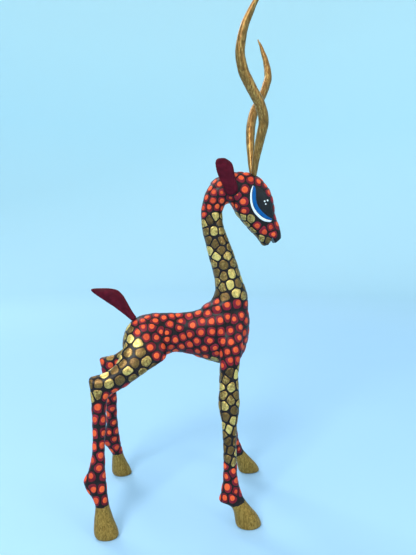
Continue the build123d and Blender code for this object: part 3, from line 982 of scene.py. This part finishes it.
# ---- the fixed pieces --------------------------------------------------------------------
def corners(x_low, x_high, z_low, z_high):
    """The outline of a rectangle in x and z."""
    return [(x_low, z_low), (x_high, z_low), (x_high, z_high), (x_low, z_high)]


# The line between neck and head, from the back of the seat round under the muzzle, as (x, z).
HEAD_LINE = [(-FAR, HEAD_SEAT_Z), (36.0, HEAD_SEAT_Z), (40.0, MUZZLE_Z), (FAR, MUZZLE_Z)]
# Each piece's outline as (x, z), and its lowest and highest y.
PIECES = {
    "torso": (corners(-FAR, FAR, -FAR, NECK_SEAT_Z), -BODY_HALF, BODY_HALF),
    "neck": ([(-FAR, NECK_SEAT_Z), (FAR, NECK_SEAT_Z), *reversed(HEAD_LINE)], -FAR, FAR),
    "head": ([*HEAD_LINE, (FAR, FAR), (-FAR, FAR)], -FAR, FAR),
}
for side, side_name in SIDE_NAMES.items():
    low, high = sorted((side * BODY_HALF, side * FAR))
    PIECES[f"foreleg_{side_name}"] = (corners(WAIST_X, FAR, -FAR, NECK_SEAT_Z), low, high)
    PIECES[f"hindleg_{side_name}"] = (corners(-FAR, WAIST_X, -FAR, NECK_SEAT_Z), low, high)


def holes_of(name):
    """The drilled holes that open into a fixed piece."""
    drills = []
    for plug, (middle, direction, radius) in PEG_STARTS.items():
        if name == ("torso" if plug == "tail" else "head"):
            stop = PEG_REACH[plug] + HOLE_OVERRUN
            drills.append((middle, direction, -HOLE_END_ROOM, stop, radius + PEG_GAP))
    return drills


HOOF_FADE = 5.0
for name, (outline, y_low, y_high) in PIECES.items():
    piece = new_object(f"{name}_wood", whole.data.copy())
    piece.data.materials.clear()
    piece.data.materials.append(ground)
    cut(piece, prism(outline, y_low, y_high, ground), "INTERSECT")
    for middle, direction, start, stop, radius in holes_of(name):
        cut(piece, bar(middle, direction, start, stop, radius, wood), "DIFFERENCE")
    points = points_of(piece.data)
    above = coronet(points, np.full(len(points), LIMBS.index(name)))
    below = np.clip(-above, -HOOF_FADE, HOOF_FADE)
    piece.data.attributes.new("hoof", "FLOAT", "POINT").data.foreach_set("value", below)
    shaded(piece)
    stand_in(piece, "root", "carved_wood_black", name)
bpy.data.objects.remove(whole)


# ---- horns, ears and tail ----------------------------------------------------------------
FINISHES = {"horn": horn_gold, "ear": plum, "tail": plum}
SLOTS = {"horn": "horn_gold", "ear": "plum_paint", "tail": "plum_paint"}
for name, (middle, direction, radius) in PEG_STARTS.items():
    kind = name.split("_")[0]
    piece = remeshed(joined_copy(f"{name}_wood", [name]), PLUG_VOXEL)
    smoothed(piece, soft_rounds=2, firm_rounds=3)
    unevened(piece, wave=6.0, reach=0.14, calm_points=[SEATS[name], middle], calm_radius=9.0)
    piece.data.materials.clear()
    piece.data.materials.append(FINISHES[kind])
    piece.data.materials.append(wood)
    centres = np.empty(len(piece.data.polygons) * 3)
    piece.data.polygons.foreach_get("center", centres)
    away = centres.reshape(-1, 3) / MM - middle
    travel = away @ direction
    across = np.linalg.norm(away - travel[:, None] * direction, axis=1)
    bare = (across < radius + PEG_SKIN) & (travel < PEG_REACH[name] - SEAT_DEPTH)
    piece.data.polygons.foreach_set("material_index", bare.astype(np.int32))
    shaded(piece, 60)
    stand_in(piece, name, SLOTS[kind], name)


# ---- the floor, the lights and the camera ------------------------------------------------
def backdrop():
    """A pale round floor that sweeps up into a wall all round, with painted shade and painted light
    in its colour: darker blue over the middle of the floor, paler blue up the wall.
    """
    made = Finish("pale_backdrop", 0.9, specular=0.1)
    cloud = made.grain(400, detail=2)
    # painted shade and light: a darker blue over the middle of the floor blends out to a paler blue
    # up the wall
    low = made.ramp(cloud, (0.3, (0.345, 0.565, 0.77)), (0.7, (0.360, 0.580, 0.79)))
    away = made.node("ShaderNodeVectorMath", {0: made.coordinates}, operation="LENGTH").outputs[1]
    made.paint(made.mixed(made.range(away, 0.5, 3.0, 0, 1), low, (0.61, 0.88, 0.96)))
    bend, reach, height, sides = 1.0, 1.6, 2.4, 96  # in metres
    turns = np.linspace(0, math.pi / 2, 20)
    sweep = [(reach + bend * math.sin(t), bend - bend * math.cos(t)) for t in turns]
    profile = [(0.4, 0.0), (1.0, 0.0), *sweep, (reach + bend, height)]
    bm = bmesh.new()
    centre = bm.verts.new((0, 0, 0))
    rings = []
    turns = [2 * math.pi * step / sides for step in range(sides)]
    for radius, z in profile:
        rings.append([bm.verts.new((radius * math.cos(t), radius * math.sin(t), z)) for t in turns])
    for step in range(sides):
        after = (step + 1) % sides
        bm.faces.new((centre, rings[0][step], rings[0][after])).smooth = True
        for inner, outer in zip(rings, rings[1:]):
            bm.faces.new((inner[step], outer[step], outer[after], inner[after])).smooth = True
    mesh = bpy.data.meshes.new("floor")
    bm.to_mesh(mesh)
    bm.free()
    mesh.materials.append(made.material)
    return new_object("floor", mesh)


def soft_light(name, place, size, power):
    """A square area light that faces the figure, in metres and watts."""
    light = bpy.data.lights.new(name, "AREA")
    light.shape = "SQUARE"
    light.size = size
    light.energy = power
    made = bpy.data.objects.new(name, light)
    made.visible_camera = False
    made.location = place
    made.rotation_euler = (MIDDLE - Vector(place)).to_track_quat("-Z", "Y").to_euler()
    bpy.context.scene.collection.objects.link(made)


floor = backdrop()
MIDDLE = Vector((0, 0, 0.19))
soft_light("key", (-0.55, -0.95, 0.95), 0.5, 13)
soft_light("fill", (1.1, -1.1, 0.85), 0.6, 4.5)
soft_light("rim", (-0.9, 0.9, 1.5), 0.6, 11)
world = bpy.data.worlds.new("pale")
world.use_nodes = True
sky = world.node_tree.nodes["Background"].inputs
sky["Color"].default_value = (1.0, 0.98, 0.96, 1)
sky["Strength"].default_value = 0.95
bpy.context.scene.world = world

CAMERA_PLACE = Vector((-8.09, -326.04, 203.0))
CAMERA_HEADING = Vector((0.0765, 0.9946, -0.0698))
camera_data = bpy.data.cameras.new("camera")
camera_data.lens = 26.98
camera_data.sensor_width = 36
camera_data.clip_start = 0.01
camera = bpy.data.objects.new("camera", camera_data)
camera.location = CAMERA_PLACE * MM
camera.rotation_euler = CAMERA_HEADING.to_track_quat("-Z", "Y").to_euler()
bpy.context.scene.collection.objects.link(camera)
bpy.context.scene.camera = camera
bpy.context.scene.view_settings.view_transform = "Standard"
